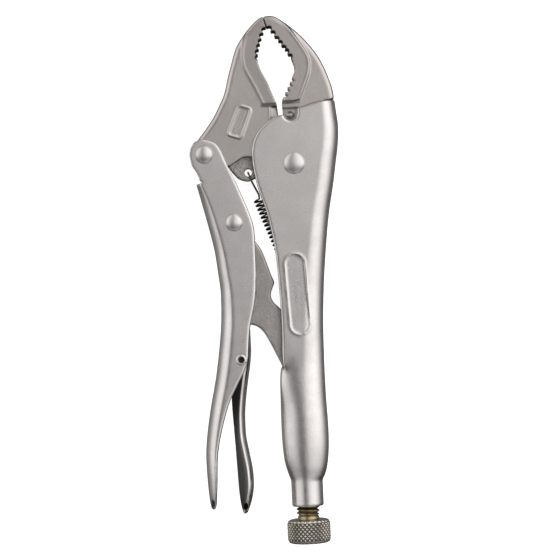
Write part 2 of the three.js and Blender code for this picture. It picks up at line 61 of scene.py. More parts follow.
def spline(points, steps=6):
    """Points along a smooth curve through the given points."""
    p = np.array(points, float)
    p = np.vstack([p[0], p, p[-1]])
    out = []
    for i in range(1, len(p) - 2):
        t = np.linspace(0, 1, steps, endpoint=False)[:, None]
        a, b, c, d = p[i - 1], p[i], p[i + 1], p[i + 2]
        out.append(0.5 * (2 * b + (c - a) * t + (2 * a - 5 * b + 4 * c - d) * t**2
                          + (3 * b - a - 3 * c + d) * t**3))
    return np.vstack([*out, p[-2:-1]]).tolist()


def arc(centre, radius, start, end, steps):
    """Points along an arc, from angles in degrees."""
    a = np.radians(np.linspace(start, end, steps + 1))
    return np.stack([centre[0] + radius * np.cos(a), centre[1] + radius * np.sin(a)], 1).tolist()


def track(stops):
    """A value that changes smoothly with y, level where it turns back, from stops in falling y."""
    ys = np.array([s[0] for s in stops], float)[::-1]
    vs = np.array([s[1] for s in stops], float)[::-1]
    rate = np.diff(vs) / np.diff(ys)
    before, after = np.r_[rate[0], rate], np.r_[rate, rate[-1]]
    slope = np.where(before * after > 0, (before + after) / 2, 0)

    def value(y):
        yc = np.clip(y, ys[0], ys[-1])
        i = np.clip(np.searchsorted(ys, yc, side="right") - 1, 0, len(ys) - 2)
        h = ys[i + 1] - ys[i]
        t = (yc - ys[i]) / h
        return ((1 + 2 * t) * (1 - t)**2 * vs[i] + t * (1 - t)**2 * h * slope[i]
                + t * t * (3 - 2 * t) * vs[i + 1] + t * t * (t - 1) * h * slope[i + 1])
    return value


def teeth(a, b, count, depth, lean):
    """Points along a row of V teeth from a to b, with blunt tips; lean shifts them along it."""
    a, b = np.array(a, float), np.array(b, float)
    d = (b - a) / np.linalg.norm(b - a)
    left = np.array([-d[1], d[0]])
    pitch = np.linalg.norm(b - a) / count
    out = []
    for i in range(count):
        for share in (-0.12, 0.12):
            out.append((a + d * pitch * (i + lean + share)).tolist())
        if i < count - 1:
            out.append((a + d * pitch * (i + lean + 0.5) + left * depth).tolist())
    return out


def poly(x, y, points):
    """Signed distance to a closed outline, negative inside."""
    p = np.array(points, np.float32)
    best = np.full(np.broadcast(x, y).shape, 1e9, np.float32)
    sign = np.ones(best.shape, bool)
    for (ax, ay), (bx, by) in zip(p, np.roll(p, -1, 0)):
        ex, ey = bx - ax, by - ay
        size = ex * ex + ey * ey
        if size < 1e-10:
            continue
        wx, wy = x - ax, y - ay
        t = np.clip((wx * ex + wy * ey) / size, 0, 1)
        best = np.minimum(best, (wx - ex * t)**2 + (wy - ey * t)**2)
        c1, c2, c3 = y >= ay, y < by, ex * wy > ey * wx
        flip = (c1 & c2 & c3) | (~c1 & ~c2 & ~c3)
        sign = sign ^ flip
    return np.where(sign, 1, -1) * np.sqrt(best)


def line(x, y, points):
    """Distance to an open line."""
    p = np.array(points, np.float32)
    best = np.full(np.broadcast(x, y).shape, 1e9, np.float32)
    for (ax, ay), (bx, by) in zip(p[:-1], p[1:]):
        ex, ey = bx - ax, by - ay
        wx, wy = x - ax, y - ay
        t = np.clip((wx * ex + wy * ey) / max(ex * ex + ey * ey, 1e-9), 0, 1)
        best = np.minimum(best, (wx - ex * t)**2 + (wy - ey * t)**2)
    return np.sqrt(best)


def smin(a, b, k):
    """The union of two distances, with a fillet about k wide."""
    h = np.maximum(k - np.abs(a - b), 0) / k
    return np.minimum(a, b) - h * h * k / 4


def smax(a, b, k):
    """The part that two distances share, with its edge rounded over about k."""
    return -smin(-a, -b, k)


def step(a, b, v):
    """A smooth rise from 0 at a to 1 at b."""
    t = np.clip((v - a) / (b - a), 0, 1)
    return t * t * (3 - 2 * t)


def ring(px, z, a, b):
    """Distance to an ellipse with half axes a and b."""
    z = np.maximum(np.abs(z), 1e-3)
    k0 = np.sqrt((px / a)**2 + (z / b)**2)
    k1 = np.sqrt((px / a**2)**2 + (z / b**2)**2)
    return k0 * (k0 - 1) / k1


def channel(x, y, z, sections):
    """Distance to the outside of a folded sheet whose round spine faces +X."""
    spine, bend, half = (section(y) for section in sections)
    return ring(np.maximum(x - spine + bend, 0), z, bend, half)


def bored(body, x, y, centre, radius, edge=0.3):
    """A body with a hole through it along Z."""
    return smax(body, radius - np.hypot(x - centre[0], y - centre[1]), edge)


def oval(x, y, pit):
    """Distance from the middle of a pit (x, y, width over length), measured along its length."""
    return np.hypot((x - pit[0]) / pit[2], y - pit[1])


# ---- Meshes -----------------------------------------------------------------------------------

def ticks(*stops):
    """Grid lines: (start, spacing), (start, spacing), ..., end."""
    out = []
    for (a, h), b in zip(stops[:-1], [s[0] if isinstance(s, tuple) else s for s in stops[1:]]):
        out.append(np.linspace(a, b, max(1, round((b - a) / h)), endpoint=False))
    return np.concatenate([*out, [stops[-1]]])


def mirrored(*stops):
    """Grid lines on both sides of 0."""
    half = ticks(*stops)
    return np.concatenate([-half[::-1], half[1:] if half[0] == 0 else half])


def surface(f, xs, ys, zs):
    """The surface where f is 0, as vertices and quads, one vertex in each cell that it crosses."""
    F = np.broadcast_to(f(xs[:, None, None], ys[None, :, None], zs[None, None, :]),
                        (len(xs), len(ys), len(zs))).astype(np.float32)
    S = F < 0
    axes = (xs, ys, zs)
    dims = np.array(F.shape) - 1
    flats, spots, quads = [], [], []
    for a in range(3):
        lo, hi = [slice(None)] * 3, [slice(None)] * 3
        lo[a], hi[a] = slice(0, -1), slice(1, None)
        idx = np.argwhere(S[tuple(lo)] != S[tuple(hi)])
        b, c = (a + 1) % 3, (a + 2) % 3
        keep = (idx[:, b] > 0) & (idx[:, b] < dims[b]) & (idx[:, c] > 0) & (idx[:, c] < dims[c])
        idx = idx[keep]
        far = idx.copy()
        far[:, a] += 1
        f0, f1 = F[tuple(idx.T)], F[tuple(far.T)]
        spot = np.stack([axes[i][idx[:, i]] for i in range(3)], 1)
        spot[:, a] += f0 / (f0 - f1) * (axes[a][far[:, a]] - axes[a][idx[:, a]])
        four = []
        for db, dc in ((-1, -1), (0, -1), (0, 0), (-1, 0)):
            cell = idx.copy()
            cell[:, b] += db
            cell[:, c] += dc
            flat = np.ravel_multi_index(cell.T, dims)
            flats.append(flat)
            spots.append(spot)
            four.append(flat)
        q = np.stack(four, 1)
        q[f0 >= 0] = q[f0 >= 0][:, ::-1]
        quads.append(q)
    flat, spot, quads = np.concatenate(flats), np.concatenate(spots), np.concatenate(quads)
    used, where = np.unique(flat, return_inverse=True)
    count = np.bincount(where)
    verts = np.stack([np.bincount(where, spot[:, i]) / count for i in range(3)], 1)
    return verts, np.searchsorted(used, quads).tolist()


def swept(rings):
    """Quads between rings of points, each ring closed; the first and last are capped."""
    rings = np.array(rings)
    m, n = rings.shape[:2]
    i, j = np.meshgrid(np.arange(m - 1), np.arange(n), indexing="ij")
    k = (j + 1) % n
    quads = np.stack([i * n + j, i * n + k, (i + 1) * n + k, (i + 1) * n + j], -1).reshape(-1, 4)
    caps = [list(range(n))[::-1], list(range((m - 1) * n, m * n))]
    return rings.reshape(-1, 3), quads.tolist() + caps


def make(name, body, shape, material, replaces, paint=None):
    """A piece that stands for a CAD node, attached to its body when one is given."""
    verts, faces = shape
    mesh = bpy.data.meshes.new(name)
    mesh.from_pydata(((verts + ORIGIN) / 1000).tolist(), [], faces)
    mesh.polygons.foreach_set("use_smooth", np.ones(len(mesh.polygons), bool))
    # Painted shade, and painted reflection on the release lever, as a value at each point that
    # darkens the colour.
    painted_dark = mesh.attributes.new("painted_dark", "FLOAT", "POINT")
    values = paint(*verts.T) if paint else np.zeros(len(verts))
    painted_dark.data.foreach_set("value", np.asarray(values, np.float32))
    obj = bpy.data.objects.new(name, mesh)
    bpy.context.scene.collection.objects.link(obj)
    mesh.materials.append(material)
    if body:
        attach(obj, body)
    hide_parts(replaces)
    return obj


def auto_smooth(obj, degrees):
    """Smooth shading that keeps edges sharper than this."""
    mesh = obj.data
    mesh.update()
    limit = math.cos(math.radians(degrees))
    normals = np.array([p.normal for p in mesh.polygons])
    users = {}
    for p in mesh.polygons:
        for e in p.edge_keys:
            users.setdefault(e, []).append(p.index)
    sharp = mesh.attributes.new("sharp_edge", "BOOLEAN", "EDGE")
    flags = np.zeros(len(mesh.edges), bool)
    for e in mesh.edges:
        u = users.get(tuple(sorted(e.vertices)), [])
        flags[e.index] = len(u) == 2 and normals[u[0]] @ normals[u[1]] < limit
    sharp.data.foreach_set("value", flags)


# ---- Materials --------------------------------------------------------------------------------

def metal(name, color, roughness, grain, pits, spread=0.06, fleck=0.35, painted_dark_color=(0.05, 0.045, 0.04)):
    """Steel with cloudy colour and gloss, dark flecks, fine grain and pits, darkened by a mesh
    attribute with painted shade and, on the polished plate, painted reflection.
    """
    m = bpy.data.materials.new(name)
    m.use_nodes = True
    n, l = m.node_tree.nodes, m.node_tree.links
    n.clear()
    out = n.new("ShaderNodeOutputMaterial")
    shader = n.new("ShaderNodeBsdfPrincipled")
    l.new(shader.outputs[0], out.inputs[0])
    shader.inputs["Metallic"].default_value = 1.0
    where = n.new("ShaderNodeTexCoord").outputs["Object"]

    def noise(scale, detail, rough=0.5):
        t = n.new("ShaderNodeTexNoise")
        t.inputs["Scale"].default_value = scale
        t.inputs["Detail"].default_value = detail
        t.inputs["Roughness"].default_value = rough
        l.new(where, t.inputs["Vector"])
        return t.outputs["Fac"]

    def between(value, a, b, lo=0.25, hi=0.75):
        r = n.new("ShaderNodeMapRange")
        for key, v in (("From Min", lo), ("From Max", hi), ("To Min", a), ("To Max", b)):
            r.inputs[key].default_value = v
        l.new(value, r.inputs["Value"])
        return r.outputs["Result"]

    def mix(factor, a, b):
        x = n.new("ShaderNodeMix")
        x.data_type = "RGBA"
        for socket, v in ((x.inputs[0], factor), (x.inputs[6], a), (x.inputs[7], b)):
            if isinstance(v, tuple):
                socket.default_value = (*v, 1)
            else:
                l.new(v, socket)
        return x.outputs[2]

    cloud = noise(90, 3)
    speckle = noise(1500, 2, 0.6)
    # Painted shade, and painted reflection on the polished plate, come from a mesh attribute that
    # mixes the colour towards a dark one.
    painted_dark = n.new("ShaderNodeAttribute")
    painted_dark.attribute_name = "painted_dark"
    dark = tuple(c * (1 - spread) for c in color)
    light = tuple(min(1, c * (1 + spread * 0.6)) for c in color)
    base = mix(between(cloud, 0, 1, 0.3, 0.7), dark, light)
    base = mix(between(speckle, 0, fleck, 0.45, 0.8), base, tuple(c * 0.62 for c in color))
    base = mix(painted_dark.outputs["Fac"], base, painted_dark_color)
    l.new(base, shader.inputs["Base Color"])
    rough = n.new("ShaderNodeMath")
    rough.operation = "ADD"
    l.new(between(noise(260, 3), roughness - 0.04, roughness + 0.05), rough.inputs[0])
    l.new(between(painted_dark.outputs["Fac"], 0, 0.35, 0, 1), rough.inputs[1])
    l.new(rough.outputs[0], shader.inputs["Roughness"])
    height = n.new("ShaderNodeMath")
    height.operation = "MULTIPLY_ADD"
    l.new(noise(2600, 3, 0.65), height.inputs[0])
    height.inputs[1].default_value = grain
    l.new(between(noise(700, 2), 0, pits, 0.35, 0.7), height.inputs[2])
    bump = n.new("ShaderNodeBump")
    bump.inputs["Strength"].default_value = 1.0
    bump.inputs["Distance"].default_value = 0.0001
    l.new(height.outputs[0], bump.inputs["Height"])
    l.new(bump.outputs[0], shader.inputs["Normal"])
    return m


# name, colour, roughness, grain, pits
SATIN = metal("satin_plate", (0.74, 0.705, 0.688), 0.29, 0.05, 0.0)
FORGED = metal("forged_plate", (0.60, 0.552, 0.53), 0.32, 0.6, 0.0)
SAND = metal("sanded_dark", (0.52, 0.50, 0.46), 0.42, 1.4, 1.0, spread=0.15, fleck=1.0)
LINK = metal("dark_plate", (0.54, 0.505, 0.48), 0.36, 1.0, 0.3, spread=0.14, fleck=0.7)
# Near black: painted reflection on the release lever's cheeks and painted shade inside it.
BRIGHT = metal("bright_plate", (0.74, 0.71, 0.69), 0.10, 0.05, 0.0, painted_dark_color=(0.01, 0.01, 0.01))
DOME = metal("rivet_steel", (0.74, 0.71, 0.69), 0.37, 0.15, 0.0)
WIRE = metal("spring_wire", (0.16, 0.15, 0.14), 0.32, 0.2, 0.0)
ZINC = metal("yellow_zinc", (0.43, 0.36, 0.22), 0.30, 0.2, 0.2)
# Its dark colour is painted shade in the knurl's grooves, also used towards the knob's lower end.
KNURL = metal("knurled_steel", (0.68, 0.63, 0.545), 0.22, 0.2, 0.0, painted_dark_color=(0.015, 0.013, 0.01))

# ---- Sizes that the pieces share ---------------------------------------------------------------

SHEET, RELEASE_SHEET = 2.0, 1.5
HALF, JAW = 8.0, 5.7  # from the mid-plane to the outside of the handles' cheeks, and of the jaws
LINK_HALF = TAB_HALF = 2.5
BAND_TOP = (6.3, 6.65)  # the range of |z| in which the jaws' grip bands end
BEVEL = 0.707  # turns the sum of two distances into one at 45 degrees
MAIN, LEVER = (0, 0), (-42.2, 5.9)
LINK_PIN, RELEASE_PIN = (-29.5, -26.7), (-29.1, -91.5)
LEVER_BORE, LINK_BORE, RELEASE_BORE = 3.05, 2.95, 1.95
HANDLE_BORE, JAW_BORE = 3.9, 3.75  # round the main rivet
SPRING_TAB, LUG = (-22, -3.3), (-1.7, -57)  # the spring's holes, in the jaw and the handle
NECK_RADIUS, NECK_END = 7.55, -162.3
NECK_RIGHT, NECK_LEFT = SCREW_X + NECK_RADIUS, SCREW_X - NECK_RADIUS

# ---- Fixed handle ------------------------------------------------------------------------------

handle_spine = track([
    (32, 20.2), (26.2, 20.7), (16, 21.6), (8, 21), (0, 19.7), (-8, 18.45), (-25, 15.25),
    (-41.5, 13.1), (-58.5, 11.4), (-75.4, 10.35), (-92, 10.05), (-110, 10.15), (-126.6, 10.6),
    (-136, 10.3), (-143.6, 9.25), (-147.5, 8.1), (-150.5, NECK_RIGHT), (-170, NECK_RIGHT)])
handle_bend = track([(30, 6.2), (20, 7), (0, 7.6), (-20, 8), (-60, 8.8), (-85, 9.6), (-95, 10)])
tube_left = track([
    (-93, -10.2), (-97.5, -10.9), (-103, -11.3), (-112, -11.5), (-124, -11.75), (-134, -11.5),
    (-141.5, -10.8), (-146.5, -9.5), (-150.5, NECK_LEFT), (-170, NECK_LEFT)])
handle_half = track([
    (31, HALF), (-85, HALF), (-112, 8.75), (-130, 8.75), (-143, 8.2), (-150.5, NECK_RADIUS),
    (-170, NECK_RADIUS)])
HANDLE = (handle_spine, handle_bend, handle_half)
tube_wall = track([(-93, SHEET), (-140, SHEET), (-150.5, 1.75), (-170, 1.75)])
HANDLE_FRONT = spline([(2.65, 25.8), (5, 26.3), (12, 28.2), (20, 29.3)])
HANDLE_CHEEK = [
    *spline([(-10.2, -112), (-10, -99), (-9.8, -92), (-9.3, -79), (-9.6, -62), (-10.2, -48),
             (-10.9, -40), (-12.3, -31), (-14.2, -22), (-16.5, -14.5), (-18.2, -8), (-19.5, 0),
             (-19.6, 7), (-18, 12.8), (-14.5, 17.5), (-10.5, 20.8), (-6.5, 22.6), (-4.1, 22.9)]),
    *arc((-0.75, 23.4), 3.35, 185, 355, 16), *HANDLE_FRONT, (FAR, 29.3), (FAR, -112)]
PANEL, PANEL_RADIUS = [(-1.9, -47.5), (-0.6, -76)], 4.9
SLOT_HALF = 3.2
TUBE_START = -99  # the cheeks fade out below it


def fixed_handle(x, y, z):
    """A channel that closes into a tube further down, with a slot, a seam and the spring's lug."""
    spine, half = handle_spine(y), handle_half(y)
    wall = channel(x, y, z, HANDLE)
    panel = line(x, y, PANEL) - PANEL_RADIUS
    pressed = 0.10 * step(-0.4, -0.9, panel) - 0.22 * np.exp(-(panel / 0.38)**2) \
        - 0.07 * step(-0.8, -1.3, panel) * np.sin(3.1 * x + y) * np.sin(3.1 * y - x)
    outside = smax(wall + pressed, poly(x, y, HANDLE_CHEEK), 0.9)
    left = tube_left(y)
    middle, wide = (left + spine) / 2, (spine - left) / 2
    flat = (0.8 + 4.2 * step(-122, -101, y)) * (x < middle) * step(-146, -134, y)
    tube = ring(x - middle, np.maximum(np.abs(z) - flat, 0), wide, half - flat)
    closed = step(-84, -102, y)
    cheeks = smax(outside, (TUBE_START - y) * 0.2, 2.4)
    outside = smin(outside * (1 - closed) + tube * closed, cheeks, 0.3)
    closed = step(-93.5, -100, y)
    hollow = (wall + SHEET) * (1 - closed) + (tube + tube_wall(y)) * closed
    slot = smax(smax(np.abs(z) - SLOT_HALF, x - SCREW_X, 0.5), -y - 106, 3)
    hollow = smin(hollow, slot, 0.5)
    seam = np.sqrt((x - left - 0.1)**2 + z**2) - 0.42
    hollow = smin(hollow, smax(seam, y + 104, 0.5), 0.2)
    body = smax(outside, -hollow, 0.5)
    tongue = [(handle_spine(LUG[1]) - 1, -52), *arc(LUG, 3, 100, 260, 12),
              (handle_spine(LUG[1]) - 1, -62)]
    lug = smax(poly(x, y, tongue), np.abs(z) - 1, 0.5)
    body = smin(body, bored(lug, x, y, LUG, 1.3, 0.4), 0.8)
    body = smax(body, NECK_END - y, 1.1)
    return bored(body, x, y, MAIN, HANDLE_BORE)


handle_ticks = (ticks((-21, 0.5), 23), ticks((-163.2, 0.35), (-161, 0.6), (15, 0.35), 30.6),
                mirrored((0, 0.2), (0.6, 0.8), (5.4, 0.27), 9.3))


def handle_painted_shade(x, y, z):
    """Painted shade inside the channel and in the neck's bore."""
    hidden = step(-1.2, -1.9, channel(x, y, z, HANDLE)) * (y > -96) * (np.abs(z) < 6.6)
    bore = step(1.2, 1.7, NECK_RADIUS - np.hypot(x - SCREW_X, z)) * (y < -150)
    return 0.6 * np.maximum(hidden, bore)


make("fixed_handle_body", "handle", surface(fixed_handle, *handle_ticks), SATIN,
     "fixed_handle", handle_painted_shade)

# ---- Fixed jaw ---------------------------------------------------------------------------------

SEAM = spline([(-10.3, 65.0), (-10.8, 66.5), (-11.3, 68.3), (-11.55, 69.9)])
FIXED_BACK = spline([
    (-11.48, 69.95), (-9, 70.3), (-6, 69.7), (-2, 67.1), (2, 63.9), (6, 60.1), (10, 55.4),
    (13.5, 50.3), (16, 45.3), (18, 40), (19.4, 35.5), (20.1, 31.5), (20.1, 29.8)])
FIXED_GRIP = [
    (-4.5, 28), (-4.3, 30), *teeth((-4.1, 30.6), (1.7, 42.6), 5, -1.9, 0.2),
    *spline([(1.9, 42.6), (2.1, 44.5), (1.8, 47), (0.9, 49.6)]),
    *spline([(0.3, 50.4), (-4.6, 57.6), (-9.4, 64.4)]), *[(a + 0.07, b) for a, b in SEAM]]
FIXED_RIDGE = spline([
    (-3, 67.8), (0.5, 64), (5, 57.5), (8.6, 51.5), (9.7, 47.5), (9, 42), (6.3, 35), (4.1, 30.1)])
DISH = (-1.3, 24.2)  # the round hollow in the jaw's root
FIXED_NOTCHES = [(-9, 64), (-7.3, 61.7), (-5.6, 59), (-4.1, 57), (-2.4, 54.7), (-1.2, 53),
                 (0.3, 50.5)]
MOVING_NOTCHES = [(-11.4, 63.4), (-12.6, 60.8), (-13.3, 58.1), (-14.2, 55.7), (-14.9, 53.2),
                  (-15, 50.7)]


def notches(x, y, z, centres):
    """Round grooves across a jaw, wider towards its faces, each a bit smaller than the last."""
    d = np.full(np.broadcast(x, y).shape, 1e9, np.float32)
    for i, (cx, cy) in enumerate(centres):
        d = np.minimum(d, np.hypot(x - cx, y - cy) + 0.05 * i)
    return d - (0.85 + 0.42 * np.clip(np.abs(z) / 6.6, 0, 1)**2)


def band(y, region, end):
    """How far a grip band stands out: a step with a bead along its ridge and a sloped end."""
    rise = step(0.3, -0.5, region) + 0.16 * np.exp(-((region + 0.8) / 0.4)**2)
    return 0.9 * rise * step(end - 1.1, end + 0.9, y)


def fixed_jaw(x, y, z):
    """A blade with bevelled back and raised grip band, on a root that fills the handle's mouth."""
    front = [(a, b + 0.4) for a, b in HANDLE_FRONT][::-1]
    whole = poly(x, y, [*FIXED_BACK, *front, (-4.3, 26.2), *FIXED_GRIP])
    back = poly(x, y, [*FIXED_BACK, (20.1, -20), (-30, -20), (-30, 69.9)])
    tip = [p for p in FIXED_BACK if p[0] < -3.2]
    region = poly(x, y, [*tip, *FIXED_RIDGE, (-4.3, 27), (-4.3, 30), (-14, 40), (-14, 66)])
    height = JAW + band(y, region, 29.2)
    body = smax(whole, np.abs(z) - height, 0.5)
    body = smax(body, (back + np.abs(z) - height + 1.2) * BEVEL, 0.8)
    body = smax(body, -notches(x, y, z, FIXED_NOTCHES), 0.25)
    root = [(FAR, 31), (-4.4, 29), (-4.3, 23), (-3.6, 17), *arc(MAIN, 11, 108, 12, 12), (FAR, 2.3)]
    seat = channel(x, y, z, HANDLE) + SHEET + 0.3
    root = smax(smax(poly(x, y, root), np.abs(z) - JAW, 0.5), seat, 0.5)
    dish = np.hypot(x - DISH[0], y - DISH[1]) - 4.2
    root = smax(root, np.abs(z) - 3.4 - 2.5 * step(-0.6, 0.9, dish), 0.4)
    bump = np.sqrt((x + 0.7)**2 + (y - 22.9)**2 + ((np.abs(z) - 3.0) * 1.1)**2) - 1.6
    return smin(smin(root, bump, 0.8), body, 0.3)


def jaw_painted_shade(centres):
    """Painted shade in the notches and in the seam between the jaws."""
    def painted_dark(x, y, z):
        d = np.min([np.hypot(x - a, y - b) for a, b in centres], 0)
        seam = np.min([np.hypot(x - a, y - b) for a, b in SEAM], 0)
        return np.clip(0.95 * step(1.6, 1.1, d) + 0.9 * step(0.5, 0.2, seam), 0, 1)
    return painted_dark


def band_top(z):
    """Where a grip band ends, which gets painted shade a little greyer than the flats."""
    return (np.abs(z) > BAND_TOP[0]) & (np.abs(z) < BAND_TOP[1])


def fixed_jaw_painted_shade(x, y, z):
    """Painted shade under the grip band's end and in the root's hollow as well."""
    dish = np.hypot(x - DISH[0], y - DISH[1])
    low_step = step(30.6, 29.4, y) * step(27.6, 28.6, y) * (x < 4)
    return np.clip(jaw_painted_shade(FIXED_NOTCHES)(x, y, z) + 0.15 * step(5, 4, dish) + 0.5 * low_step
                   + 0.1 * band_top(z), 0, 1)


jaw_z = mirrored((0, 0.5), (4, 0.22), 7.2)
make("fixed_jaw_body", "handle",
     surface(fixed_jaw, ticks((-13, 0.27), (5, 0.45), 22), ticks((-1, 1.0), (19, 0.27), 71), jaw_z),
     FORGED, "fixed_jaw", fixed_jaw_painted_shade)

# ---- Moving jaw --------------------------------------------------------------------------------

MOVING_BACK = spline([
    (-11.62, 69.95), (-13.5, 69.4), (-16.5, 67), (-20, 63.3), (-23, 59.3), (-25.5, 55),
    (-27.7, 48.3), (-29.4, 42.7), (-31.7, 34.3), (-34.3, 28.8), (-37.4, 23.2), (-41.4, 17.7),
    (-46, 12.1)])
MOVING_GRIP = [
    (-6.9, 27.5), *teeth((-7.2, 29), (-10.6, 38.2), 7, 0.45, 0.3),
    *spline([(-11.5, 40), (-13.5, 44), (-14.9, 48), (-15, 50.5)]),
    *spline([(-14.9, 51.6), (-13.2, 58.4), (-10.8, 64.2)]), *[(a - 0.07, b) for a, b in SEAM]]
MOVING_RIDGE = spline([
    (-19.3, 64.2), (-20.8, 61), (-22.2, 56), (-22.8, 51), (-22.2, 46.5), (-20.3, 42), (-17.3, 36),
    (-14, 28.6)])
FRAME_BOX = [(-24.1, 26.7), (-21.1, 25.65), (-25.35, 14.7), (-28.95, 15.9)]
FRAME_EDGE = 2.3


def moving_jaw(x, y, z):
    """A blade with boss, lobe, grip band, a plain raised frame and the thin tab for the spring."""
    outline = [
        *MOVING_BACK, *arc(LEVER, 6.3, 130, 275, 16),
        *spline([(-36, 0.2), (-31.2, 0), (-26, 3), (-23.5, 4), (-20, 3.8)]),
        *arc(MAIN, 9.5, 190, 470, 36),
        *spline([(-4.6, 12.5), (-5.8, 18), (-6.4, 22.6), (-6.9, 27)]), *MOVING_GRIP]
    whole = poly(x, y, outline)
    back = poly(x, y, [*MOVING_BACK, (-30, -40), (40, -40), (40, 69.9)])
    tip = [p for p in MOVING_BACK if p[1] > 64.4]
    region = poly(x, y, [*tip, *MOVING_RIDGE, (-14, 26), (0, 26), (0, 66)])
    plate = poly(x, y, FRAME_BOX) - FRAME_EDGE
    height = JAW + band(y, region, 28.2) + 0.42 * np.exp(-((plate + 0.75) / 0.45)**2)
    height = height + step(-1.2, -1.7, plate) * (0.09 * np.sin(3.4 * x + 1.2 * y)
                                                 * np.sin(3.4 * y - 1.2 * x) - 0.1)
    facet = step(27.6, 26.6, y) * np.clip((x + 10.4) * 0.75, 0, 3.2)
    height = height - facet + 0.22 * np.exp(-((x + 10.6) / 0.35)**2) * step(27.6, 26.6, y) \
        * step(20, 21.5, y)
    body = smax(whole, np.abs(z) - height, 0.5)
    body = smax(body, (back + np.abs(z) - height + 1.4) * BEVEL, 0.9)
    body = smax(body, -notches(x, y, z, MOVING_NOTCHES), 0.25)
    tab = [*spline([(-31.6, 0.6), (-30.3, -1.8), (-28.4, -4.2), (-26, -6.4), (-22, -7.4),
                    (-18.2, -6.2), (-12, -6.4)]), (-5, -6), (-5, 3), (-20, 4.6), (-26, 3.8)]
    body = smin(body, smax(poly(x, y, tab), np.abs(z) - TAB_HALF, 0.7), 0.4)
    body = bored(body, x, y, SPRING_TAB, 1.8, 0.5)
    body = bored(body, x, y, LEVER, LEVER_BORE)
    return bored(body, x, y, MAIN, JAW_BORE)


def tab_mask(x, y, z):
    """Where the jaw has the spring tab's dark, sanded finish."""
    return (np.abs(z) < 2.9) & (y < 4.2) & (x < -9)


def moving_jaw_painted_shade(x, y, z):
    """Painted shade under the grip band's end and on the step down to the spring tab as well."""
    low_step = step(29.4, 28.2, y) * step(26.4, 27.4, y) * (x > -14.6)
    shade = (np.abs(z) > 2.8) & (np.abs(z) < 5.3) & (y < 5) & (x < -9) & (x > -34)
    return np.clip(jaw_painted_shade(MOVING_NOTCHES)(x, y, z) + 0.45 * low_step + 0.85 * shade
                   + 0.2 * band_top(z), 0, 1)


moving = make("moving_jaw_body", "jaw",
              surface(moving_jaw, ticks((-50, 0.36), (-5, 0.8), 11),
                      ticks((-11, 0.36), 71),
                      mirrored((0, 0.5), (2.0, 0.3), (2.9, 0.5), (4, 0.22), 7.2)),
              FORGED, "moving_jaw", moving_jaw_painted_shade)
moving.data.materials.append(SAND)
co = np.array([v.co for v in moving.data.vertices]) * 1000 - ORIGIN
sanded = tab_mask(*co.T)
for p in moving.data.polygons:
    if all(sanded[v] for v in p.vertices):
        p.material_index = 1

# ---- Lever handle ------------------------------------------------------------------------------

LEVER_TOP, LEVER_TIP = -7.6, -162.3
lever_spine = track([
    (LEVER_TOP, -46.9), (-16.2, -44.8), (-27.7, -42.1), (-39.2, -39.7), (-50.5, -38.4),
    (-60, -37.6), (-73.3, -38), (-84, -39.2), (-98.6, -41.5), (-115.5, -45.1), (-128, -47.2),
    (-138, -48), (-148, -47.8), (-158, -47.1), (LEVER_TIP, -46.4)])
lever_bend = track([(LEVER_TOP, 2.6), (-14, 4), (-20, 4.8), (-39, 5.6), (-58, 6.4), (-78, 7.2),
                    (-110, 7), (-135, 6), (-162, 5)])
lever_half = track([(-8, HALF), (-140, HALF), (-156, 7.2), (LEVER_TIP, 5.8)])
LEVER_EAR = [
    *spline([(-47, 11.9), (-48.8, 8.8), (-49.2, 5.2), (-48.3, 1), (-46.6, -1.9), (-45.3, -4.8),
             (-45, -6.2)]), (-42.5, -8), (-28.4, -8),
    *spline([(-29, -5.5), (-31, -1), (-32.5, 2.5), (-34.5, 7.5), (-37, 11), (-42, 13),
             (-44.5, 13)])]
LEVER_CHEEK = [
    (-FAR, LEVER_TOP), (-FAR, -180), (-44.9, -180), (-44.6, LEVER_TIP),
    *spline([(-44, -160), (-43.3, -150), (-42.5, -137), (-40, -125), (-36, -112.5), (-32, -104.5),
             (-28, -97), (-26, -91.5), (-25.3, -84), (-24.3, -76), (-21.7, -65), (-20.5, -54),
             (-20.2, -40), (-20.6, -29), (-23, -20.5), (-28, LEVER_TOP)]),
    (-29.1, -5.4), (-44.4, -5.4), (-44.4, LEVER_TOP)]
LEVER_PIT = (-45.55, -159.2, 0.52)  # x, y, and width over length


def lever_handle(x, y, z):
    """A channel that closes at its tip, with two ears at its head."""
    spine, bend, half = lever_spine(y), lever_bend(y), lever_half(y)
    wall = ring(np.maximum(spine + bend - x, 0), z, bend, half * 1.02)
    wall = smax(wall, np.abs(z) - half, 0.3)
    tip = -y + LEVER_TIP + 0.07 * np.maximum(x + 45.5, 0)**2
    outside = smax(wall, poly(x, y, LEVER_CHEEK), 0.9)
    outside = smax(outside, tip, 1.8)
    hollow = smax(wall + SHEET, LEVER_TIP + 5.3 - y, 1.5)
    pocket = smax(oval(x, y, LEVER_PIT) * LEVER_PIT[2] - 0.92, 3.4 - np.abs(z), 0.4)
    body = smax(smax(outside, -hollow, 0.5), -pocket, 0.3)
    ear = smax(poly(x, y, LEVER_EAR), np.abs(np.abs(z) - HALF + SHEET / 2) - SHEET / 2, 0.6)
    body = smin(body, ear, 0.02)
    for pin, bore in ((LEVER, LEVER_BORE), (LINK_PIN, LINK_BORE), (RELEASE_PIN, RELEASE_BORE)):
        body = bored(body, x, y, pin, bore)
    return body


def lever_painted_shade(x, y, z):
    """Painted shade inside the channel and in the pit at its tip."""
    wall = ring(np.maximum(lever_spine(y) + lever_bend(y) - x, 0), z, lever_bend(y), lever_half(y))
    pit = step(1.15, 0.9, oval(x, y, LEVER_PIT) * 0.55)
    return np.clip(0.75 * step(-1.2, -1.9, wall) + 0.95 * pit * (np.abs(z) < 6.2), 0, 1)


make("lever_handle_body", "lever",
     surface(lever_handle, ticks((-51, 0.5), -18),
             ticks((-164, 0.3), (-155, 0.6), (-14, 0.4), 14), mirrored((0, 0.8), (4.8, 0.27), 8.7)),
     SATIN, "lever_handle", lever_painted_shade)

# ---- Toggle link -------------------------------------------------------------------------------

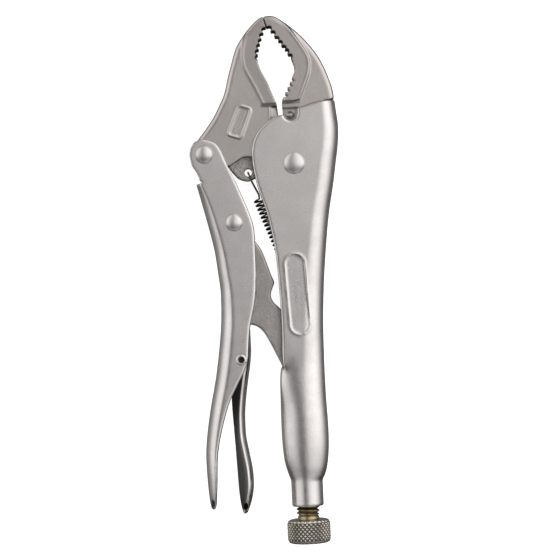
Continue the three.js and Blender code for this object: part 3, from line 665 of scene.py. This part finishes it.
LINK_OUTLINE = [
    *arc(LINK_PIN, 6, -20, 200, 20),
    *spline([(-34, -36), (-32.5, -50), (-31, -64), (-29.5, -72), (-27.5, -74.6)]),
    *spline([(-23.7, -75.3), (-21, -76.2), (-18, -79), (-15, -84.5), (-12, -91), (-9, -97.5),
             (-6.5, -101.5)]),
    *arc((SCREW_X, -102.5), 4.2, 205, 360, 14),
    *spline([(3.2, -96), (1.5, -86), (-3, -77), (-9.7, -68.3), (-12.8, -65), (-13.9, -61.5),
             (-12.6, -57.5), (-12, -55.6), (-13.5, -51.5), (-17, -41), (-20, -36), (-23, -31.5)])]


def toggle_link(x, y, z):
    """A flat link, with a round nose that meets the screw."""
    body = smax(poly(x, y, LINK_OUTLINE), np.abs(z) - LINK_HALF, 0.8)
    return bored(body, x, y, LINK_PIN, LINK_BORE)


make("toggle_link_body", "link",
     surface(toggle_link, ticks((-37, 0.4), 5), ticks((-108, 0.4), -19),
             mirrored((0, 0.6), (1.7, 0.2), 3.1)),
     LINK, "toggle_link")

# ---- Release lever -----------------------------------------------------------------------------

RELEASE_TOP, RELEASE_TIP = -76.8, -164.5
release_spine = track([
    (-76, -24.4), (-86, -24.3), (-93, -24.9), (-100, -26.1), (-109, -27.6), (-120, -28.6),
    (-128, -28.45), (-136, -27.2), (-144, -26), (-150, -25.8), (-156, -26.6), (-160, -27.7),
    (RELEASE_TIP, -29.6)])
release_bend = track([(-76, 3.2), (-110, 3.8), (-150, 4.4), (-164, 3)])
release_half = track([(-76, 5.6), (-150, 5.6), (-160, 5), (RELEASE_TIP, 3.8)])
RELEASE = (release_spine, release_bend, release_half)
RELEASE_CHEEK = [
    (FAR, RELEASE_TIP), (FAR, RELEASE_TOP), (-25.5, RELEASE_TOP),
    *spline([(-27.5, -78), (-30.4, -84), (-32.3, -91.5), (-33.2, -99), (-34.4, -108),
             (-34.5, -114), (-34, -126), (-33.4, -142), (-33, -153), (-32.3, -160),
             (-31.3, RELEASE_TIP)])]
RELEASE_PIT = (-30.1, -160.9, 0.55)  # x, y, and width over length


def release_lever(x, y, z):
    """A thinner channel that fits in the lever handle, closed at its tip."""
    wall = channel(x, y, z, RELEASE)
    outside = smax(wall, poly(x, y, RELEASE_CHEEK), 0.8)
    hollow = smax(wall + RELEASE_SHEET, RELEASE_TIP + 6 - y, 1.5)
    pocket = smax(oval(x, y, RELEASE_PIT) * RELEASE_PIT[2] - 0.95, 1.8 - np.abs(z), 0.4)
    body = smax(smax(outside, -hollow, 0.4), -pocket, 0.3)
    return bored(body, x, y, RELEASE_PIN, RELEASE_BORE)


def release_painted_shade_and_reflection(x, y, z):
    """Painted reflection on the dark cheeks, which mirror dark surroundings in the photo, and
    painted shade inside.
    """
    wall = channel(x, y, z, RELEASE)
    pit = step(1.2, 0.95, oval(x, y, RELEASE_PIT) * 0.55)
    inward = release_spine(y) - x
    # Painted reflection on the cheeks, darker towards the top where painted shade under the lever
    # handle adds to it.
    cheek = step(2.2, 3.0, inward) * (0.88 + 0.1 * step(-135, -110, y))
    return np.clip(0.8 * step(-0.9, -1.4, wall) + cheek + 0.95 * pit * (np.abs(z) < 4.6), 0, 1)


make("release_lever_body", "release",
     surface(release_lever, ticks((-36, 0.35), -22), ticks((-166, 0.35), (-156, 0.5), -75),
             mirrored((0, 0.7), (3.2, 0.25), 6.3)),
     BRIGHT, "release_lever", release_painted_shade_and_reflection)

# ---- Turned pieces -----------------------------------------------------------------------------

POINT = 0.01  # the radius of the small flat that closes a turned end


def lathe(profile, centre, sides, axis="z", bumps=None):
    """A turned solid from (radius, along) pairs; bumps gives what is added to the radius."""
    a = np.linspace(0, 2 * math.pi, sides, endpoint=False)
    rings = []
    for r, s in profile:
        rr = r + (bumps(a, s, r) if bumps else 0)
        c, w = rr * np.cos(a), rr * np.sin(a)
        if axis == "z":
            rings.append(np.stack([centre[0] + c, centre[1] + w, np.full(sides, s)], 1))
        else:
            rings.append(np.stack([centre[0] + w, np.full(sides, s), c], 1))
    return swept(rings)


def rivet(name, body, node, centre, shank, head, rise, hollow=0.0):
    """A rivet with two domed heads; shank, head and hollow are diameters."""
    under, lip, R = HALF + 0.1, 0.35, head / 2
    half = []
    if hollow:
        half += [(POINT, under - 0.9), (hollow / 2 - 0.25, under - 0.9), (hollow / 2, under - 0.5)]
    start = math.asin(hollow / head) + 0.15 if hollow else 0.01
    for t in np.linspace(start, math.pi / 2, 18):
        half.append((R * math.sin(t), under + lip + (rise - lip) * math.cos(t)))
    half += [(R, under + 0.12), (R - 0.12, under), (shank / 2, under - 0.05)]
    profile = half + [(r, -s) for r, s in half[::-1]]

    def hammered(a, s, r):
        return 0.045 * np.sin(3 * a + s) * (r / R) * (abs(s) > under) \
            + 0.03 * np.sin(5 * a - 2 * s) * (r / R)
    shape = lathe(profile, centre, 64, bumps=hammered)

    # Painted shade in the head's hollow and round the head's lower edge.
    def painted_dark(x, y, z):
        d = np.hypot(x - centre[0], y - centre[1])
        inner = (hollow > 0) * 0.7 * step(hollow / 2 + 0.1, hollow / 2 - 0.4, d)
        rim = 0.4 * step(under + 0.3, under - 0.05, np.abs(z))
        return np.clip(inner + rim, 0, 1)
    return make(name, body, shape, DOME, node, painted_dark)


rivet("main_rivet_head", "handle", "main_rivet", MAIN, shank=7, head=10.2, rise=2.5)
rivet("lever_rivet_head", "jaw", "lever_rivet", LEVER, shank=5.6, head=8.6, rise=2.5)
rivet("link_rivet_head", "lever", "link_rivet", LINK_PIN, shank=5.4, head=8.2, rise=2.4)
rivet("release_rivet_head", "lever", "release_rivet", RELEASE_PIN, shank=3.4, head=5.4, rise=1.2,
      hollow=2.8)

KNOB_TOP = NECK_END - 6.3
KNOB_RADIUS, KNOB_LENGTH, KNOB_EDGE, KNURLS = 10.3, 11.1, 2.1, 30
PITCH, ROOT_RADIUS, THREAD_DEPTH = 1.81, 4.45, 1.05
SCREW_TOP, THREAD_TOP, THREAD_END = -111.5, -112.5, KNOB_TOP + 1.7


def screw_shape():
    """The threaded rod from inside the tube down into the knob, with a plain collar above it."""
    sides = 60
    a = np.linspace(0, 2 * math.pi, sides, endpoint=False)

    def around(r, y):
        return np.stack([SCREW_X + r * np.sin(a), np.full(sides, y), r * np.cos(a)], 1)
    rings = [around(POINT, SCREW_TOP), around(3.8, SCREW_TOP)]
    for y in np.arange(THREAD_TOP, THREAD_END, -PITCH / 10):
        f = np.mod((y - THREAD_TOP) / PITCH + a / (2 * math.pi), 1)
        ridge = np.clip((0.5 - np.abs(f - 0.5)) * 2 * 1.35 - 0.12, 0, 1)
        fade = min(1, (THREAD_TOP - y) / 1.2) * min(1, (y - THREAD_END) / 0.9)
        rings.append(around(ROOT_RADIUS + THREAD_DEPTH * ridge * max(fade, 0), y))
    for r, y in ((4.85, THREAD_END - 0.1), (5, THREAD_END - 0.3), (5, KNOB_TOP + 0.25),
                 (3.5, KNOB_TOP + 0.2), (3.5, KNOB_TOP - 6.5), (POINT, KNOB_TOP - 6.5)):
        rings.append(around(r, y))
    return swept(rings)


def screw_painted_shade(x, y, z):
    """Painted shade in the thread's roots and where the screw leaves the neck."""
    r = np.hypot(x - SCREW_X, z)
    root = 0.75 * step(5.0, 4.5, r) * (y > THREAD_END + 0.4)
    return np.clip(root + 0.5 * step(-165, -162.6, y), 0, 1)


screw = make("adjusting_screw_thread", "screw", screw_shape(), ZINC,
             "adjusting_screw", screw_painted_shade)
auto_smooth(screw, 40)


def knob_shape():
    """A round-edged knob with two crossed sets of grooves."""
    R, edge, count = KNOB_RADIUS, KNOB_EDGE, KNURLS
    bottom = KNOB_TOP - KNOB_LENGTH
    row = 2 * math.pi * R / count
    profile = [(POINT, KNOB_TOP - 6.8), (3.8, KNOB_TOP - 6.8), (3.8, KNOB_TOP), (5.2, KNOB_TOP),
               (7.2, KNOB_TOP)]
    profile += [(R - edge + edge * math.sin(t), KNOB_TOP - edge + edge * math.cos(t))
                for t in np.linspace(0.05, math.pi / 2, 8)]
    straight = np.arange(KNOB_TOP - edge - row / 12, bottom + edge, -row / 12)
    profile += [(R, s) for s in straight]
    profile += [(R - edge + edge * math.cos(t), bottom + edge - edge * math.sin(t))
                for t in np.linspace(0.0, math.pi / 2, 8)]
    profile += [(7.2, bottom), (5.4, bottom), (4.9, bottom + 0.35), (POINT, bottom + 0.35)]

    def knurl(a, s, r):
        fade = np.clip((r - (R - 1.0)) / 0.6, 0, 1)
        u, v = a * count / (2 * math.pi), s / row
        p, q = np.mod(u + v, 1), np.mod(u - v, 1)
        cut = np.maximum(np.abs(p - 0.5), np.abs(q - 0.5)) * 2
        return -0.62 * fade * np.clip(cut * 1.2 - 0.2, 0, 1)
    return lathe(profile, (SCREW_X, 0), count * 12, "y", knurl)


def knob_painted_shade(x, y, z):
    """Painted shade in the knurl's grooves, and darker towards the knob's lower end."""
    r = np.hypot(x - SCREW_X, z)
    knurled = (y < KNOB_TOP - 1.2) & (y > KNOB_TOP - 9.9)
    low_edge = 0.5 * step(KNOB_TOP - 8.4, KNOB_TOP - 11, y)
    return np.clip(0.9 * step(10.15, 9.7, r) * knurled + low_edge, 0, 1)


knob = make("adjusting_knob_knurl", "knob", knob_shape(), KNURL,
            "adjusting_knob", knob_painted_shade)
auto_smooth(knob, 55)

# ---- Spring ------------------------------------------------------------------------------------

WIRE_DIAMETER, COIL_DIAMETER, COIL_PITCH = 0.95, 6.2, 2.05


def spring_shape():
    """The coil and its two hooks, along the line from the jaw's tab to the handle's lug."""
    start, end = np.array([*SPRING_TAB, 0.0]), np.array([*LUG, 0.0])
    along = (end - start) / np.linalg.norm(end - start)
    across, up = np.array([-along[1], along[0], 0]), np.array([0, 0, 1.0])
    length = np.linalg.norm(end - start)
    wire, coil, lead, tail = WIRE_DIAMETER, (COIL_DIAMETER - WIRE_DIAMETER) / 2, 13.5, 7.5
    tab_top, lug_top = TAB_HALF + wire / 2 + 0.3, 1 + wire / 2 + 0.3
    span = length - lead - tail
    turns = round(span / COIL_PITCH)
    pts = [(0, 0, -tab_top), (0, 0, 0), (0.1, 0, tab_top - 0.9), (1.2, 0, tab_top),
           (lead * 0.4, 0, tab_top), (lead - 2, 0.6, coil + 0.3)]
    for i in range(turns * 16 + 1):
        t = 2 * math.pi * i / 16
        s = i / (turns * 16)
        pts.append((lead + span * s, -coil * math.sin(t), coil * math.cos(t)))
    pts += [(length - tail + 2, -0.8, coil - 0.2), (length - 3.4, 0, lug_top),
            (length - 1, 0, lug_top), (length - 0.1, 0, lug_top - 0.9), (length, 0, 0),
            (length, 0, -lug_top)]
    p = np.array([start + along * s + across * c + up * u for s, c, u in pts])
    path = np.vstack([spline(p[:6], 5), p[6:-6], spline(p[-6:], 5)])
    tangent = np.gradient(path, axis=0)
    tangent /= np.linalg.norm(tangent, axis=1)[:, None]
    side = np.cross(tangent[0], [0, 1, 0.2])
    rings, a = [], np.linspace(0, 2 * math.pi, 10, endpoint=False)
    for c, t in zip(path, tangent):
        side = side - t * (side @ t)
        side /= np.linalg.norm(side)
        other = np.cross(t, side)
        rings.append(c + (np.outer(np.cos(a), side) + np.outer(np.sin(a), other)) * wire / 2)
    return swept(rings)


spring = make("jaw_spring_coil", None, spring_shape(), WIRE, "jaw_spring")
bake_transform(spring)

# ---- Stage -------------------------------------------------------------------------------------

BACKDROP = 0.93
VIEW_WIDTH = 0.2632  # metres across the picture at the object
VIEW_CENTRE = (-9.888, -53.962, 4.0)
VIEW_TURN = -2.6  # degrees

floor_mesh = bpy.data.meshes.new("floor")
floor_mesh.from_pydata([(-3, -3, 0), (3, -3, 0), (3, 3, 0), (-3, 3, 0)], [], [(0, 1, 2, 3)])
floor = bpy.data.objects.new("floor", floor_mesh)
bpy.context.scene.collection.objects.link(floor)
floor.location.z = -0.0005  # just under the rivet heads
paper = bpy.data.materials.new("paper")
paper.use_nodes = True
sheet = paper.node_tree.nodes["Principled BSDF"]
sheet.inputs["Base Color"].default_value = (0.9, 0.9, 0.9, 1)
sheet.inputs["Roughness"].default_value = 0.9
sheet.inputs["Emission Color"].default_value = (1, 1, 1, 1)
sheet.inputs["Emission Strength"].default_value = 0.9
floor_mesh.materials.append(paper)
floor.visible_glossy = False

world = bpy.data.worlds.new("studio")
bpy.context.scene.world = world
world.use_nodes = True
wn, wl = world.node_tree.nodes, world.node_tree.links
sky = wn["Background"]
split = wn.new("ShaderNodeSeparateXYZ")
wl.new(wn.new("ShaderNodeTexCoord").outputs["Generated"], split.inputs[0])


def tent(value, low, high, stops):
    """A soft ramp of brightness over a value, from (value, brightness) stops."""
    to = wn.new("ShaderNodeMapRange")
    to.inputs["From Min"].default_value = low
    to.inputs["From Max"].default_value = high
    wl.new(value, to.inputs["Value"])
    ramp = wn.new("ShaderNodeValToRGB")
    ramp.color_ramp.interpolation = "EASE"
    wl.new(to.outputs["Result"], ramp.inputs["Fac"])
    e = ramp.color_ramp.elements
    for i, (at, v) in enumerate(stops):
        at = (at - low) / (high - low)
        point = e[i] if i < 1 else (e[-1] if i == len(stops) - 1 else e.new(at))
        point.position, point.color = at, (v, v, v, 1)
    return ramp.outputs["Color"]


def times(a, b):
    """The product of two colours."""
    m = wn.new("ShaderNodeMix")
    m.data_type, m.blend_type = "RGBA", "MULTIPLY"
    m.inputs[0].default_value = 1
    wl.new(a, m.inputs[6])
    wl.new(b, m.inputs[7])
    return m.outputs[2]


turn = wn.new("ShaderNodeMath")
turn.operation = "ARCTAN2"
wl.new(split.outputs["X"], turn.inputs[0])
wl.new(split.outputs["Z"], turn.inputs[1])
degrees = wn.new("ShaderNodeMath")
degrees.operation = "MULTIPLY"
degrees.inputs[1].default_value = 180 / math.pi
wl.new(turn.outputs[0], degrees.inputs[0])
across = tent(degrees.outputs[0], -180, 180, [
    (-180, 0.15), (-150, 0.2), (-125, 0.3), (-108, 0.42), (-96, 0.75), (-80, 1.15), (-62, 1.2),
    (-44, 1.15), (-33, 0.8), (-24, 0.32), (-15, 0.13), (-7, 0.18), (-1, 0.7), (5, 1.02), (20, 1.3),
    (35, 1.5), (50, 1.6), (66, 1.5), (80, 1.1), (92, 0.7), (103, 0.3), (116, 0.15), (180, 0.15)])
lengthwise = tent(split.outputs["Y"], -1, 1, [
    (-1, 0.45), (-0.8, 0.35), (-0.5, 0.16), (-0.3, 0.38), (-0.12, 0.88), (0, 1.03), (0.1, 0.94),
    (0.3, 1), (1, 0.8)])
# A small dark spot in the sky, which the polished release lever mirrors.
spot_across = tent(degrees.outputs[0], -180, 180, [
    (-180, 1), (-9, 1), (-5, 0), (5, 0), (9, 1), (180, 1)])
spot_along = tent(split.outputs["Y"], -1, 1, [
    (-1, 1), (-0.14, 1), (-0.11, 0), (-0.04, 0), (-0.025, 1), (1, 1)])
spot = wn.new("ShaderNodeMix")
spot.data_type, spot.blend_type = "RGBA", "LIGHTEN"
spot.inputs[0].default_value = 1
wl.new(spot_across, spot.inputs[6])
wl.new(spot_along, spot.inputs[7])
wl.new(times(times(across, lengthwise), spot.outputs[2]), sky.inputs["Color"])
backdrop = wn.new("ShaderNodeBackground")
backdrop.inputs["Color"].default_value = (BACKDROP, BACKDROP, BACKDROP, 1)
choose = wn.new("ShaderNodeMixShader")
wl.new(wn.new("ShaderNodeLightPath").outputs["Is Camera Ray"], choose.inputs[0])
wl.new(sky.outputs[0], choose.inputs[1])
wl.new(backdrop.outputs[0], choose.inputs[2])
wl.new(choose.outputs[0], wn["World Output"].inputs["Surface"])

camera_data = bpy.data.cameras.new("camera")
camera = bpy.data.objects.new("camera", camera_data)
bpy.context.scene.collection.objects.link(camera)
camera_data.lens, camera_data.sensor_width = 150, 36
camera_data.clip_start, camera_data.clip_end = 0.1, 20
distance = VIEW_WIDTH * camera_data.lens / camera_data.sensor_width
centre = (ORIGIN + np.array(VIEW_CENTRE)) / 1000
camera.location = (centre[0], centre[1], centre[2] + distance)
camera.rotation_euler = (0, 0, math.radians(VIEW_TURN))
bpy.context.scene.camera = camera
bpy.context.scene.view_settings.view_transform = "Standard"
